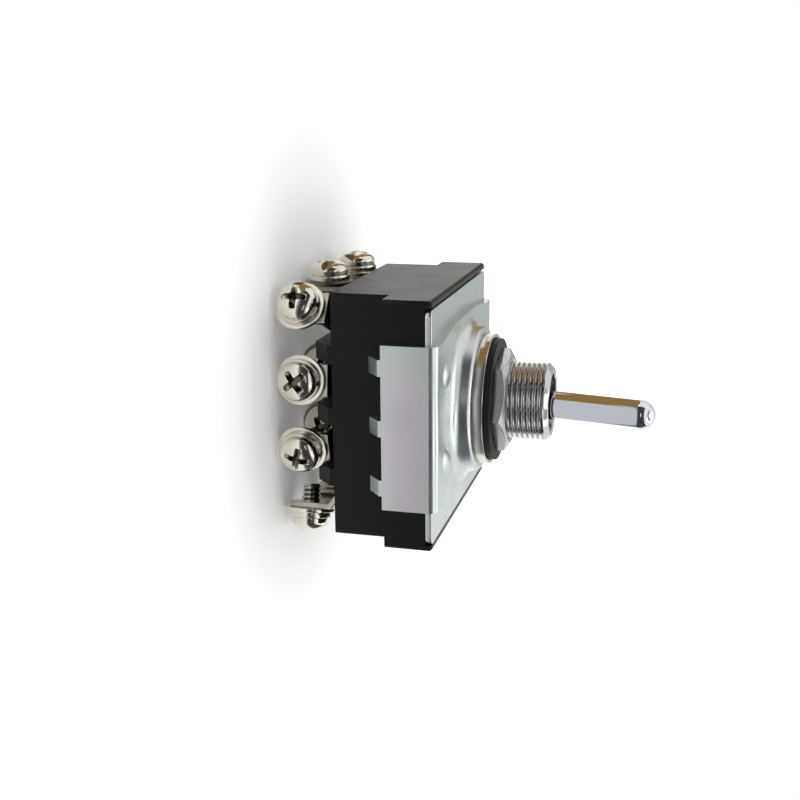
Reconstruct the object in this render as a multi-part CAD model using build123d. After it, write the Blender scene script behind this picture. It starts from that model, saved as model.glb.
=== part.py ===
from build123d import *
import math
import os

# Lengths are millimetres and angles are degrees.
# X runs along the row of poles, Y across the throw of the lever, Z up the lever.
# The origin is on the bushing's axis, in the plane of the front of the bracket's boss.

# Case
case_x = 37.0            # along the poles
flange_y = 39.4          # front part, across the throw
block_y = 31.6           # rear block, across the throw
flange_depth = 7.2       # front of the case to its rear shoulder
block_depth = 8.8        # shoulder to the back of the case
lip_width = 0.95         # rim beside the cover plate
lip_chamfer = 0.35
case_wall = 1.4          # outer wall beside the end poles
end_wall = 2.6           # wall behind the near and far contacts
floor_thickness = 3.5    # moulding that grips the terminals
ledge_drop = 6.3         # cover plate's back to the ledges that carry the slide
well_width = 5.6         # room for the contacts of one pole
barrier_thickness = 2.6
barrier_height = 3.2
barrier_slope = 2.5      # slanted ends of the barriers
corner_radius = 0.5

# Poles and terminals
pole_pitch = 9.5
row_pitch = 11.5
blade_width = 4.9
blade_thickness = 0.9
blade_jog = 2.6          # how far a blade steps sideways behind the case
jog_start = 0.5          # straight stretch behind the case before the step
jog_height = 0.9
blade_tip = 2.9          # screw axis to the blade's tip
tip_radius = 1.2
screw_drop = 5.2         # back of the case to the screw axis
foot_width = 4.0
contact_width = 3.0
contact_height = 0.9
common_length = 7.2
throw_contact_start = 5.2  # middle of the pole to the thrown contacts
throw_contact_length = 3.0

# Terminal screws and their washers
screw_radius = 1.5
screw_length = 5.2
head_radius = 2.95
head_height = 2.2
head_rim = 0.8           # straight side of the head
head_flat = 1.0          # radius of the flat on top
recess_width = 0.9
recess_span = 3.4
recess_depth = 1.1
recess_taper = 12.0
flat_washer_radius = 3.8
flat_washer_thickness = 0.6
spring_washer_radius = 3.2
spring_washer_thickness = 0.9
spring_washer_gap = 0.7
washer_clearance = 0.1

# Sheet metal
sheet = 1.0              # bracket
cover_thickness = 1.0
cover_corner = 1.0
cover_play = 0.4         # free width of the plate between the rims
cover_shift = 0.15       # the plate lies off centre in that play
fold_width = 24.4        # bracket at its folds
face_width = 26.6        # bracket over the middle of its face
face_straight = 16.0     # stretch over which the face has its full width
face_taper = 33.0        # the face is down to the fold's width here
fold_radius = 1.3
boss_rise = 2.8
boss_base_radius = 12.0
boss_top_radius = 11.2
boss_fillet = 0.7
boss_root_fillet = 2.0
boss_skirt = 3.0         # flat face drawn with the boss
finger_width = 2.4
finger_length = 2.7
finger_pitch = 8.9
finger_lean = 50.0
finger_root = 0.6        # finger's overlap with the arm
dimple_radius = 2.0
dimple_height = 0.6
dimple_inset = 6.0       # outside of the arm to the dimples
dimple_pitch = 12.8
dimple_shift = 0.4       # both dimples of a fold lie off centre

# Bushing and what is on it
bushing_radius = 6.0
bushing_length = 10.8    # in front of the boss
bushing_chamfer = 0.7
bushing_flange_radius = 8.2
bushing_flange_thickness = 1.4
stack_clearance = 0.1
ring_radius = 10.2
ring_thickness = 1.6
ring_rim = 0.6           # raised rim around the lock washer
lock_washer_thickness = 1.2
washer_sink = 0.3        # how far the lock washer sits in the ring
tooth_count = 12
tooth_gap = 1.1
tooth_depth = 1.2
nut_wall = 1.0           # thread to the middle of a flat
nut_thickness = 2.0
thread_clearance = 0.03
nut_chamfer = 0.35
nut_turn = 12.0          # how the nut happens to stand

# Lever
lever_radius = 2.2
lever_reach = 25.3       # pivot to the tip
lever_dome = 2.3
pivot_height = 1.7       # in front of the boss
throw_angle = 11.5       # each side of upright
ball_radius = 3.4
ball_clearance = 0.1
mouth_radius = 4.5
throat_height = 2.0      # pivot to where the bore starts to widen
lever_tail = 7.4         # pivot to the lever's lower end
pin_radius = 0.8
pin_clearance = 0.05
pin_inset = 0.6          # pin's ends inside the thread
tail_bore_radius = 1.4
tail_bore_top = 2.4      # pivot to the closed end of the bore

# Plunger, its spring, and the slide
plunger_clearance = 0.05
plunger_top = 5.2        # pivot to the plunger's upper end
plunger_ball_radius = 2.0
drive_drop = 9.2         # pivot down to the level where the plunger drives the slide
slot_clearance = 0.1
plunger_sink = 0.3       # free depth under the plunger
spring_wire_radius = 0.2
spring_clearance = 0.1
spring_turns = 4
slide_height = 4.3
slide_lift = 0.1         # running gap over the ledges
slide_wall = 2.5
slide_end_gap = 0.25
slot_width = 4.6
post_x = 3.4
post_y = 4.0
bridge_thickness = 0.5
bridge_width = 3.6
bridge_span = 4.7        # middle of the bridge to each contact end
bridge_flat = 3.6
bridge_rise = 1.0
bridge_toe = 1.0         # flat that meets the fixed contact
bridge_curl = 0.5
bridge_gap = 0.05        # over the fixed contacts
stake_radius = 0.7
stake_head_radius = 1.1
stake_head = 0.4

# Levels, from the front of the boss down
bracket_front = -boss_rise
case_front = bracket_front - sheet
rebate_floor = case_front - cover_thickness
shoulder = case_front - flange_depth
case_back = shoulder - block_depth
ledge = rebate_floor - ledge_drop
well_floor = case_back + floor_thickness
foot_top = well_floor + blade_thickness
contact_face = foot_top + contact_height
screw_level = case_back - screw_drop
slide_bottom = ledge + slide_lift
slide_top = slide_bottom + slide_height
bridge_low = contact_face + bridge_gap + bridge_thickness / 2
bridge_high = bridge_low + bridge_rise
post_bottom = bridge_high + bridge_thickness / 2
drive_reach = drive_drop / math.cos(math.radians(throw_angle))
slide_travel = drive_reach * math.sin(math.radians(throw_angle))
slot_floor = pivot_height - drive_reach - plunger_ball_radius - plunger_sink
washer_seat = ring_thickness - washer_sink
nut_seat = washer_seat + lock_washer_thickness
chamber_y = block_y - 2 * end_wall
bore_radius = ball_radius + ball_clearance
pin_half_length = bushing_radius - pin_inset
nut_across_flats = 2 * (bushing_radius + nut_wall)

# Poles are numbered along X, and rows run across the throw.
# Each terminal's screw faces so many degrees from -Y towards -X. Some terminals sit
# higher than the common level, and some step sideways less than the others.
pole_places = {number: (number - 2.5) * pole_pitch for number in range(1, 5)}
row_places = {"near": -row_pitch, "common": 0.0, "far": row_pitch}
screw_facing = {
    (1, "near"): 35, (1, "common"): 90, (1, "far"): 90,
    (2, "near"): 6, (2, "common"): 0, (2, "far"): 180,
    (3, "near"): -15, (3, "common"): 0, (3, "far"): 180,
    (4, "near"): -75, (4, "common"): -90, (4, "far"): -90,
}
screw_lift = {(1, "far"): 1.1}
screw_jog = {(4, "near"): 1.3}


def block(x, y, low, high):
    """Box of x by y about the Z axis, between two levels."""
    return Pos(0, 0, (low + high) / 2) * Box(x, y, high - low)


def rod(radius, low, high):
    """Cylinder on the Z axis between two levels."""
    return Pos(0, 0, (low + high) / 2) * Cylinder(radius, high - low)


def ring(outer, inner, low, high):
    """Flat ring on the Z axis between two levels."""
    return rod(outer, low, high) - rod(inner, low, high)


def turned(points):
    """Solid turned about the Z axis from an outline of (radius, level) points."""
    return revolve(Plane.XZ * make_face(Polyline(*points, close=True)), Axis.Z)


def strip(points, thickness):
    """Face in the XY plane of a bent strip whose middle line runs through the points."""
    steps = [(Vector(b) - Vector(a)).normalized() for a, b in zip(points, points[1:])]
    befores = [steps[0]] + steps
    afters = steps + [steps[-1]]
    left = []
    right = []
    for here, before, after in zip(points, befores, afters):
        along = (before + after).normalized()
        side = Vector(-along.Y, along.X) * (thickness / 2 / along.dot(before))
        left.append(tuple(Vector(here) + side))
        right.append(tuple(Vector(here) - side))
    return make_face(Polyline(*left, *reversed(right), close=True))


def bent_sheet(points, thickness, width):
    """Strip bent through (-y, z) points, with its width along X."""
    upright = Plane(origin=(0, 0, 0), x_dir=(0, -1, 0), z_dir=(-1, 0, 0))
    return extrude(upright * strip(points, thickness), width / 2, both=True)


def at_terminal(shape, pole, row):
    """Move a shape from the middle of the case to a terminal, turned the way its screw faces."""
    turn = Rot(0, 0, -screw_facing[pole, row])
    return Pos(pole_places[pole], row_places[row], screw_lift.get((pole, row), 0)) * turn * shape


def on_screw_axis(shape, pole, row, reach):
    """Move a shape on the Z axis to a terminal's screw axis, head end outwards."""
    jog = screw_jog.get((pole, row), blade_jog)
    outwards = Pos(0, -jog - blade_thickness / 2 - reach, screw_level) * Rot(90, 0, 0)
    return at_terminal(outwards * shape, pole, row)


def terminal(pole, row):
    """Terminal: stepped blade with its screw hole, foot in the well, and fixed contact."""
    lift = screw_lift.get((pole, row), 0)
    jog = screw_jog.get((pole, row), blade_jog)
    below = case_back - jog_start - lift
    path = [(0, well_floor - lift), (0, below), (jog, below - jog_height),
            (jog, screw_level - blade_tip)]
    blade = bent_sheet(path, blade_thickness, blade_width)
    tip_edges = blade.edges().filter_by(Axis.Y).sort_by(Axis.Z)[:2]
    blade = fillet(tip_edges, tip_radius)
    blade -= Pos(0, -jog, screw_level) * Rot(90, 0, 0) * rod(screw_radius, -2, 2)
    piece = at_terminal(blade, pole, row)
    x = pole_places[pole]
    if row == "common":
        piece += Pos(x, 0, 0) * block(foot_width, common_length, well_floor, foot_top)
        return piece + Pos(x, 0, 0) * block(contact_width, common_length, foot_top, contact_face)
    side = math.copysign(1, row_places[row])
    outer = row_pitch + blade_thickness / 2
    foot_length = outer - throw_contact_start
    foot = block(foot_width, foot_length, well_floor, foot_top)
    piece += Pos(x, side * (throw_contact_start + foot_length / 2), 0) * foot
    contact = block(contact_width, throw_contact_length, foot_top, contact_face)
    return piece + Pos(x, side * (throw_contact_start + throw_contact_length / 2), 0) * contact


def screw():
    """Pan head screw with a cross recess, head upwards and its seat at zero."""
    outline = Polyline((0, -screw_length), (screw_radius, -screw_length), (screw_radius, 0),
                       (head_radius, 0), (head_radius, head_rim))
    crown = TangentArc((head_flat, head_height), (head_radius, head_rim), tangent=(1, 0))
    closing = Polyline((head_flat, head_height), (0, head_height), (0, -screw_length))
    body = revolve(Plane.XZ * make_face(outline + crown + closing), Axis.Z)
    cross = Rectangle(recess_span, recess_width) + Rectangle(recess_width, recess_span)
    cutter = extrude(cross, recess_depth, taper=-recess_taper)
    return body - Pos(0, 0, head_height - recess_depth) * cutter


def flat_washer():
    """Flat washer that seats on the blade at zero."""
    return ring(flat_washer_radius, screw_radius + washer_clearance, 0, flat_washer_thickness)


def spring_washer():
    """Split washer that seats at zero, with its slanted gap."""
    body = ring(spring_washer_radius, screw_radius + washer_clearance, 0, spring_washer_thickness)
    cut = Box(spring_washer_gap, 2 * screw_radius, 4 * spring_washer_thickness)
    return body - Pos(0, spring_washer_radius, 0) * Rot(0, 30, 0) * cut


def case_body():
    """Moulded case: stepped block, rebate, chamber, contact wells and barriers."""
    flange = block(case_x, flange_y, shoulder, case_front)
    flange = fillet(flange.edges().filter_by(Axis.Z), corner_radius)
    rear = block(case_x, block_y, case_back, shoulder)
    rear = fillet(rear.edges().filter_by(Axis.Z), corner_radius)
    body = flange + rear
    lips = body.faces().sort_by(Axis.Z)[-1].edges().filter_by(Axis.Y)
    body = chamfer(lips, lip_chamfer)
    body -= block(case_x - 2 * lip_width, flange_y + 2, rebate_floor, case_front + 1)
    body -= block(case_x - 2 * case_wall, chamber_y, ledge, rebate_floor + 1)
    for x in pole_places.values():
        body -= Pos(x, 0, 0) * block(well_width, chamber_y, well_floor, ledge + 1)
    barrier = block(barrier_thickness, block_y, case_back - barrier_height, case_back)
    ends = barrier.faces().sort_by(Axis.Z)[0].edges().filter_by(Axis.X)
    barrier = chamfer(ends, barrier_slope)
    for i in [-1, 0, 1]:
        body += Pos(i * pole_pitch, 0, 0) * barrier
    return body


def terminal_base(terminals):
    """Case with a slot through its floor for each terminal."""
    body = case_body()
    for piece in terminals:
        body -= piece
    return body


def cover_plate():
    """Steel plate in the rebate, with a hole for the lever's tail."""
    width = case_x - 2 * lip_width - cover_play
    plate = block(width, flange_y, rebate_floor, case_front)
    plate = Pos(cover_shift, 0, 0) * fillet(plate.edges().filter_by(Axis.Z), cover_corner)
    return plate - rod(mouth_radius, rebate_floor, case_front)


def boss(offset, low):
    """Round boss down to a level, set in from the bracket's outer face by an offset."""
    base = boss_base_radius - offset
    top = boss_top_radius - offset
    foot = bracket_front - offset
    rim = base + boss_skirt
    face = make_face(Polyline((0, low), (rim, low), (rim, foot), (base, foot),
                              (top, -offset), (0, -offset), close=True))
    root = face.vertices().sort_by_distance((base, foot))[0]
    face = fillet(root, boss_root_fillet)
    crown = face.vertices().sort_by_distance((top, -offset))[0]
    face = fillet(crown, boss_fillet)
    return revolve(Plane.XZ * face, Axis.Z)


def bracket_plan():
    """Outline of the bracket from the front: full width over the middle, less at the folds."""
    corners = [(face_width / 2, face_straight / 2), (fold_width / 2, face_taper / 2),
               (fold_width / 2, flange_y / 2 + sheet)]
    right = corners[::-1] + [(x, -y) for x, y in corners]
    left = [(-x, y) for x, y in right[::-1]]
    return make_face(Polyline(*right, *left, close=True))


def finger():
    """Finger at the rear edge of the near arm, bent in behind the case's shoulder."""
    lean = math.radians(finger_lean)
    out = flange_y / 2 + sheet / 2
    bend = shoulder - sheet / 2 * math.tan(lean / 2)
    tip = (out - finger_length * math.sin(lean), bend - finger_length * math.cos(lean))
    return bent_sheet([(out, bend + finger_root), (out, bend), tip], sheet, finger_width)


def dimple():
    """Shallow round dimple that rises from zero."""
    drop = (dimple_radius ** 2 - dimple_height ** 2) / (2 * dimple_height)
    ball = Pos(0, 0, -drop) * Sphere(drop + dimple_height)
    return ball & block(2 * dimple_radius, 2 * dimple_radius, -sheet / 2, dimple_height)


def mounting_bracket():
    """Folded bracket with its boss, bushing hole, dimples and crimped fingers."""
    outer_y = flange_y + 2 * sheet
    body = block(face_width, outer_y, shoulder, bracket_front)
    folds = body.faces().sort_by(Axis.Z)[-1].edges().filter_by(Axis.X)
    body = fillet(folds, fold_radius)
    body -= block(face_width + 2, flange_y, shoulder - 1, case_front)
    body += boss(0, case_front)
    body &= extrude(Pos(0, 0, shoulder) * bracket_plan(), -shoulder)
    body -= boss(sheet, case_front - 1)
    body -= rod(bushing_radius, case_front, 1)
    for turn in [0, 180]:
        for i in [-1, 0, 1]:
            body += Rot(0, 0, turn) * Pos(i * finger_pitch, 0, 0) * finger()
        for i in [-0.5, 0.5]:
            x = i * dimple_pitch - dimple_shift
            y = dimple_inset - outer_y / 2
            body += Rot(0, 0, turn) * Pos(x, y, bracket_front) * dimple()
    return body


def threaded_bushing():
    """Bushing with a flange behind the boss, a round seat for the ball and a cross hole."""
    low = -sheet - bushing_flange_thickness
    body = rod(bushing_radius, low, bushing_length)
    body = chamfer(body.edges().sort_by(Axis.Z)[-1], bushing_chamfer)
    body += rod(bushing_flange_radius, low, -sheet)
    throat = pivot_height + throat_height
    body -= turned([(0, low - 1), (bore_radius, low - 1), (bore_radius, throat),
                    (mouth_radius, bushing_length), (0, bushing_length)])
    return body - Pos(0, 0, pivot_height) * Rot(0, 90, 0) * rod(pin_radius, -99, 99)


def locating_ring():
    """Thick ring on the boss, with a raised rim around the lock washer."""
    body = ring(ring_radius, bushing_radius + stack_clearance, 0, ring_thickness)
    return body - rod(ring_radius - ring_rim, washer_seat, ring_thickness)


def lock_washer():
    """Lock washer with internal teeth, inside the rim of the locating ring."""
    outer = ring_radius - ring_rim - stack_clearance
    inner = bushing_radius + stack_clearance
    body = ring(outer, inner, washer_seat, nut_seat)
    gap = Pos(inner, 0, nut_seat) * Box(2 * tooth_depth, tooth_gap, 2 * nut_seat)
    for i in range(tooth_count):
        body -= Rot(0, 0, (i + 0.5) * 360 / tooth_count) * gap
    return body


def hex_nut():
    """Thin hexagon nut, its corners chamfered in front."""
    corner = nut_across_flats / 2 / math.cos(math.radians(30))
    high = nut_seat + nut_thickness
    body = extrude(RegularPolygon(corner, 6), nut_thickness)
    body = Pos(0, 0, nut_seat) * Rot(0, 0, nut_turn) * body
    slope = math.tan(math.radians(30))
    reach = corner - nut_across_flats / 2 + nut_chamfer
    body &= turned([(0, nut_seat), (corner, nut_seat),
                    (corner, high - reach * slope), (corner - reach, high), (0, high)])
    return body - rod(bushing_radius + thread_clearance, 0, high)


def tilted(shape):
    """Tilt a shape about the pivot to the lever's resting position."""
    return Pos(0, 0, pivot_height) * Rot(throw_angle, 0, 0) * shape


def lever():
    """Lever with its domed end, ball, cross hole and bored tail."""
    straight = lever_reach - lever_dome
    body = rod(lever_radius, -lever_tail, straight)
    dome = scale(Sphere(lever_radius), by=(1, 1, lever_dome / lever_radius))
    body += Pos(0, 0, straight) * dome
    body += Sphere(ball_radius)
    body -= rod(tail_bore_radius, -lever_tail, -tail_bore_top)
    body -= Rot(0, 90, 0) * rod(pin_radius + pin_clearance, -ball_radius, ball_radius)
    return tilted(body)


def pivot_pin():
    """Cross pin of the lever, held in the bushing."""
    return Pos(0, 0, pivot_height) * Rot(0, 90, 0) * rod(pin_radius, -pin_half_length, pin_half_length)


def plunger():
    """Plunger in the lever's tail, with the ball end that drives the slide."""
    body = rod(tail_bore_radius - plunger_clearance, -drive_reach, -plunger_top)
    return tilted(body + Pos(0, 0, -drive_reach) * Sphere(plunger_ball_radius))


def plunger_spring():
    """Small coil spring between the lever and the plunger."""
    length = plunger_top - tail_bore_top - 2 * spring_wire_radius
    middle = tail_bore_radius - spring_clearance - spring_wire_radius
    path = Helix(pitch=length / spring_turns, height=length, radius=middle)
    section = Plane(origin=path @ 0, z_dir=path % 0) * Circle(spring_wire_radius)
    coil = sweep(section, path=path)
    return tilted(Pos(0, 0, spring_wire_radius - plunger_top) * coil)


def thrown(shape):
    """Shift a shape across the case to where the resting lever holds the slide."""
    return Pos(0, slide_travel, 0) * shape


def contact_carrier():
    """Moulded slide across all poles, with a slot for the plunger and a post for each bridge."""
    half_y = plunger_ball_radius + slot_clearance + slide_wall
    length = case_x - 2 * (case_wall + slide_end_gap)
    body = block(length, 2 * half_y, slide_bottom, slide_top)
    body -= block(slot_width, 2 * (half_y - slide_wall), slot_floor, slide_top)
    for x in pole_places.values():
        body += Pos(x, 0, 0) * block(post_x, post_y, post_bottom, slide_bottom)
        low = post_bottom - bridge_thickness
        body += Pos(x, 0, 0) * rod(stake_radius, low, post_bottom)
        body += Pos(x, 0, 0) * rod(stake_head_radius, low - stake_head, low)
    return thrown(body)


def contact_bridge(pole):
    """Sprung bridging contact under one post of the slide."""
    bend = bridge_span - bridge_toe
    half = [(bridge_flat / 2, bridge_high), (bend, bridge_low), (bridge_span, bridge_low),
            (bridge_span + bridge_curl, bridge_low + bridge_curl)]
    path = [(-y, z) for y, z in reversed(half)] + half
    body = bent_sheet(path, bridge_thickness, bridge_width)
    body -= rod(stake_radius, post_bottom - 1, post_bottom + 1)
    return thrown(Pos(pole_places[pole], 0, 0) * body)


def save(name, shape):
    """Write one named part as a STEP file."""
    export_step(shape, f"parts/{name}.step")


def build_terminals():
    """Terminals with their screws and washers; returns the terminals for the case's slots."""
    stack = flat_washer_thickness + spring_washer_thickness
    pieces = []
    for pole in pole_places:
        springs = []
        for row in row_places:
            piece = terminal(pole, row)
            pieces.append(piece)
            save(f"terminal_{pole}_{row}", piece)
            save(f"terminal_screw_{pole}_{row}", on_screw_axis(screw(), pole, row, stack))
            save(f"flat_washer_{pole}_{row}", on_screw_axis(flat_washer(), pole, row, 0))
            springs.append(on_screw_axis(spring_washer(), pole, row, flat_washer_thickness))
        save(f"spring_washers_{pole}", Compound(children=springs))
    return pieces


if __name__ == "__main__":
    os.makedirs("parts", exist_ok=True)
    save("terminal_base", terminal_base(build_terminals()))
    save("cover_plate", cover_plate())
    save("mounting_bracket", mounting_bracket())
    save("threaded_bushing", threaded_bushing())
    save("locating_ring", locating_ring())
    save("lock_washer", lock_washer())
    save("hex_nut", hex_nut())
    save("lever", lever())
    save("pivot_pin", pivot_pin())
    save("plunger", plunger())
    save("plunger_spring", plunger_spring())
    save("contact_carrier", contact_carrier())
    for pole in pole_places:
        save(f"contact_bridge_{pole}", contact_bridge(pole))
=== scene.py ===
"""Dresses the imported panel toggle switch: finishes, threads, studio and camera."""
import logging
import math
from dataclasses import dataclass
from enum import Enum
from typing import Sequence

import bmesh
import bpy
import numpy as np
from mathutils import Matrix, Vector

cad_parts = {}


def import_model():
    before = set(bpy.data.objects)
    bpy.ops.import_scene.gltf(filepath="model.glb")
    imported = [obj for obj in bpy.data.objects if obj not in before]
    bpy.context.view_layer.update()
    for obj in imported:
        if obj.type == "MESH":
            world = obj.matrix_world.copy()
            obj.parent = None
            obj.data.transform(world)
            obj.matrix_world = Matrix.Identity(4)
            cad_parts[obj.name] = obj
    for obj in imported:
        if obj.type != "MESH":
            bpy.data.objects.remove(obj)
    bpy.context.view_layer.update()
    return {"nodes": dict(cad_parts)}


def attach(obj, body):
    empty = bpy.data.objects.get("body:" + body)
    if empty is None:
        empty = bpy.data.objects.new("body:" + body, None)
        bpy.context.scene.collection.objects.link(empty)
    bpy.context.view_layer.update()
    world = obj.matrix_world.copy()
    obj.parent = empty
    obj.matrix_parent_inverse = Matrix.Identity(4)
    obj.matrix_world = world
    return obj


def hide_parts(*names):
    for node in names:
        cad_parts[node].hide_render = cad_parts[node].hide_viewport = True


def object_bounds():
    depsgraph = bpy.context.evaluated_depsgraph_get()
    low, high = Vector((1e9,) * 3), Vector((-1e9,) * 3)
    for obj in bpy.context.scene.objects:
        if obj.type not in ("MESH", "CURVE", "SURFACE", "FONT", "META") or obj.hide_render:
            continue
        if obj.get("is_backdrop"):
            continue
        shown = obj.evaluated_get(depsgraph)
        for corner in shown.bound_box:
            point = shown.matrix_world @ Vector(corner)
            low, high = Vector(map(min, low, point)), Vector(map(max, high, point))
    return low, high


LOG = logging.getLogger("toggle_switch")
# Point attribute of painted shade: how much a point's colour is darkened.
SHADE_MASK = "shade_mask"      # point attribute: 0 in the open, 1 deep in a thread or a recess
MM = 0.001               # metres in a millimetre
POLES = range(1, 5)
MERGE_DISTANCE = 1e-6    # metres within which points of a CAD node are one
FLAT_ANGLE = 1.0         # degrees under which two triangles of a CAD node are one face
CRISP_ANGLE = 28.0       # degrees above which an edge of a CAD node is bevelled
BEVEL_SEGMENTS = 2
CORNER_SHARE = 0.45      # most of a side that one rounded corner may use up
CREST_MARGIN = 1e-3      # millimetres within which a point lies on a thread's cylinder
THREAD_FADE = 0.4        # pitches over which a thread's ends fade out
NOISE_RANGE = (0.35, 0.65)       # where the values of a noise lie
LINE_STRETCH = (0.05, 1.0, 1.0)  # draws a noise out into lines along X
ARM_SCALE = (75.0, 0.0, 238.0)   # half widths of a folded arm in a metre
ARM_OFFSET = (-0.1, 0.0, 1.74)   # brings the arm's middle to the origin
FILM_CLOUD = 0.5         # share of the noise in the film's thickness
FILM_REACH = 0.4         # share of the distance from the arm's middle in it

Colour = tuple[float, float, float]
Point = tuple[float, float, float]
Ramp = tuple[tuple[float, float], ...]
Piece = bpy.types.Object
Node = bpy.types.Node
Socket = bpy.types.NodeSocket
Tree = bpy.types.NodeTree
Value = Socket | float | tuple[float, ...]


class Row(Enum):
    """Rows of terminals across the throw, with each row's place along Y in millimetres."""

    NEAR = -11.5
    COMMON = 0.0
    FAR = 11.5


class Body(Enum):
    """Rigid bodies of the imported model."""

    CASE = "case"
    LEVER = "lever"
    SLIDE = "slide"


# Mesh making; lengths are in millimetres until a mesh is made.


def linked(name: str, data: bpy.types.ID) -> Piece:
    """Make an object and link it to the scene.

    Args:
        name: name of the object.
        data: its mesh, lamp or camera.

    Returns:
        The new object.
    """
    thing = bpy.data.objects.new(name, data)
    bpy.context.scene.collection.objects.link(thing)
    return thing


def grid_mesh(name: str, rings: np.ndarray, *, poles: np.ndarray | None = None,
              loop: bool = False, sharp: float = 32.0,
              shade: np.ndarray | None = None) -> Piece:
    """Make a closed smooth surface from rings of points, and turn its faces outwards.

    Each quad joins point j and j + 1 (round the ring) of ring i and ring i + 1. With loop the last
    ring joins the first, and with poles a fan of triangles closes each end.

    Args:
        name: name of the piece.
        rings: array (n, m, 3) of points.
        poles: array (2, 3) of end points, before the first ring and after the last one.
        loop: whether the rings close on themselves along the profile.
        sharp: angle in degrees above which an edge stays crisp.
        shade: array (n, m) from 0 to 1 of painted shade at each point, kept as an attribute.

    Returns:
        The new object, linked to the scene.
    """
    n, m, _ = rings.shape
    i = np.arange(n if loop else n - 1)[:, None]
    j = np.arange(m)[None, :]
    here, following = i * m, (i + 1) % n * m
    quads = [here + j, here + (j + 1) % m, following + (j + 1) % m, following + j]
    faces = np.stack(quads, axis=-1).reshape(-1, 4).tolist()
    points = rings.reshape(-1, 3)
    if poles is not None:
        points = np.vstack([points, poles])
        first, last = n * m, n * m + 1
        j = np.arange(m)
        top = (n - 1) * m
        faces += np.stack([(j + 1) % m, j, np.full(m, first)], axis=-1).tolist()
        faces += np.stack([top + j, top + (j + 1) % m, np.full(m, last)], axis=-1).tolist()
    mesh = bpy.data.meshes.new(name)
    mesh.from_pydata((points * MM).tolist(), [], faces)
    work = bmesh.new()
    work.from_mesh(mesh)
    bmesh.ops.recalc_face_normals(work, faces=work.faces)
    work.to_mesh(mesh)
    work.free()
    mesh.polygons.foreach_set("use_smooth", np.ones(len(mesh.polygons), dtype=bool))
    mesh.set_sharp_from_angle(angle=math.radians(sharp))
    piece = linked(name, mesh)
    if shade is not None:
        values = np.zeros(len(points), dtype=np.float32)
        values[:n * m] = shade.reshape(-1)
        if poles is not None:
            values[n * m] = shade[0].mean()
        piece.data.attributes.new(SHADE_MASK, "FLOAT", "POINT").data.foreach_set("value", values)
    return piece


def rounded(corners: Sequence[tuple[float, float]], radius: float, steps: int = 3,
            closed: bool = False) -> np.ndarray:
    """Round a profile's corners.

    A corner P between its neighbours A and B becomes the quadratic curve
    (1 - t)^2 P1 + 2 t (1 - t) P + t^2 P2, where P1 and P2 lie radius away from P towards A and B.

    Args:
        corners: (radius, level) points.
        radius: how far a rounding reaches along each side, at most CORNER_SHARE of that side.
        steps: number of stretches of each rounding.
        closed: whether the last point joins the first.

    Returns:
        Array (n, 2) of points.
    """
    p = np.asarray(corners, dtype=float)
    before, after = np.roll(p, 1, axis=0) - p, np.roll(p, -1, axis=0) - p
    length_before = np.linalg.norm(before, axis=1, keepdims=True)
    length_after = np.linalg.norm(after, axis=1, keepdims=True)
    start = p + before / length_before * np.minimum(radius, CORNER_SHARE * length_before)
    end = p + after / length_after * np.minimum(radius, CORNER_SHARE * length_after)
    t = np.linspace(0, 1, steps + 1)[None, :, None]
    curve = (1 - t) ** 2 * start[:, None] + 2 * t * (1 - t) * p[:, None] + t ** 2 * end[:, None]
    if closed:
        return curve.reshape(-1, 2)
    return np.vstack([p[:1], curve[1:-1].reshape(-1, 2), p[-1:]])


def sampled(profile: np.ndarray, step: float) -> np.ndarray:
    """Divide a profile's long stretches into steps no longer than step.

    Args:
        profile: array (n, 2) of points.
        step: longest stretch wanted.

    Returns:
        Array (k, 2) of points along the same lines.
    """
    out = [profile[:1]]
    for a, b in zip(profile, profile[1:]):
        count = max(1, int(np.ceil(np.linalg.norm(b - a) / step)))
        t = np.linspace(0, 1, count + 1)[1:, None]
        out.append(a + (b - a) * t)
    return np.vstack(out)


def polar(radius: np.ndarray | float, angle: np.ndarray, level: np.ndarray | float) -> np.ndarray:
    """Work out points (r cos a, r sin a, z) from values that are spread over each other."""
    radius, angle, level = np.broadcast_arrays(radius, angle, level)
    return np.stack([radius * np.cos(angle), radius * np.sin(angle), level], axis=-1)


def round_angles(count: int) -> np.ndarray:
    """Divide a circle into evenly spaced angles in radians."""
    return np.arange(count) / count * 2 * np.pi


def turned_rings(profile: np.ndarray, sides: int) -> np.ndarray:
    """Turn a profile of radius and level about Z, into an array (n, sides, 3) of points."""
    return polar(profile[:, :1], round_angles(sides), profile[:, 1:])


def threaded(rings: np.ndarray, crest: float, depth: float, pitch: float, low: float,
             high: float, land: float = 0.1) -> tuple[np.ndarray, np.ndarray]:
    """Cut a screw thread into rings of points.

    A point at level z and angle a sinks by depth times s(u), where u = z / pitch - a / 2 pi and s
    is a rounded triangle wave that stays 0 over the land and reaches 1 at the root, faded out at
    both ends of the thread. Only points on the cylinder of radius crest are moved.

    Args:
        rings: array (n, m, 3) of points.
        crest: radius of the cylinder that carries the thread.
        depth: crest to root.
        pitch: rise of one turn.
        low: level where the thread starts.
        high: level where the thread ends.
        land: share of the pitch that stays flat at the crest.

    Returns:
        The moved points, and an array (n, m) that is 0 off the thread and 1 at its root.
    """
    x, y, z = rings[..., 0], rings[..., 1], rings[..., 2]
    r = np.hypot(x, y)
    u = z / pitch - np.arctan2(y, x) / (2 * np.pi)
    wave = np.clip((np.abs(2 * (u - np.floor(u + 0.5))) - land) / (1 - land), 0, 1)
    wave = wave * wave * (3 - 2 * wave)
    fade = np.clip(np.minimum(z - low, high - z) / (THREAD_FADE * pitch), 0, 1)
    sink = np.where(np.abs(r - crest) < CREST_MARGIN, depth * wave * fade, 0)
    scale = np.where(r > 0, (r - sink) / np.maximum(r, 1e-9), 1)
    return np.stack([x * scale, y * scale, z], axis=-1), sink / depth


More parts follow.
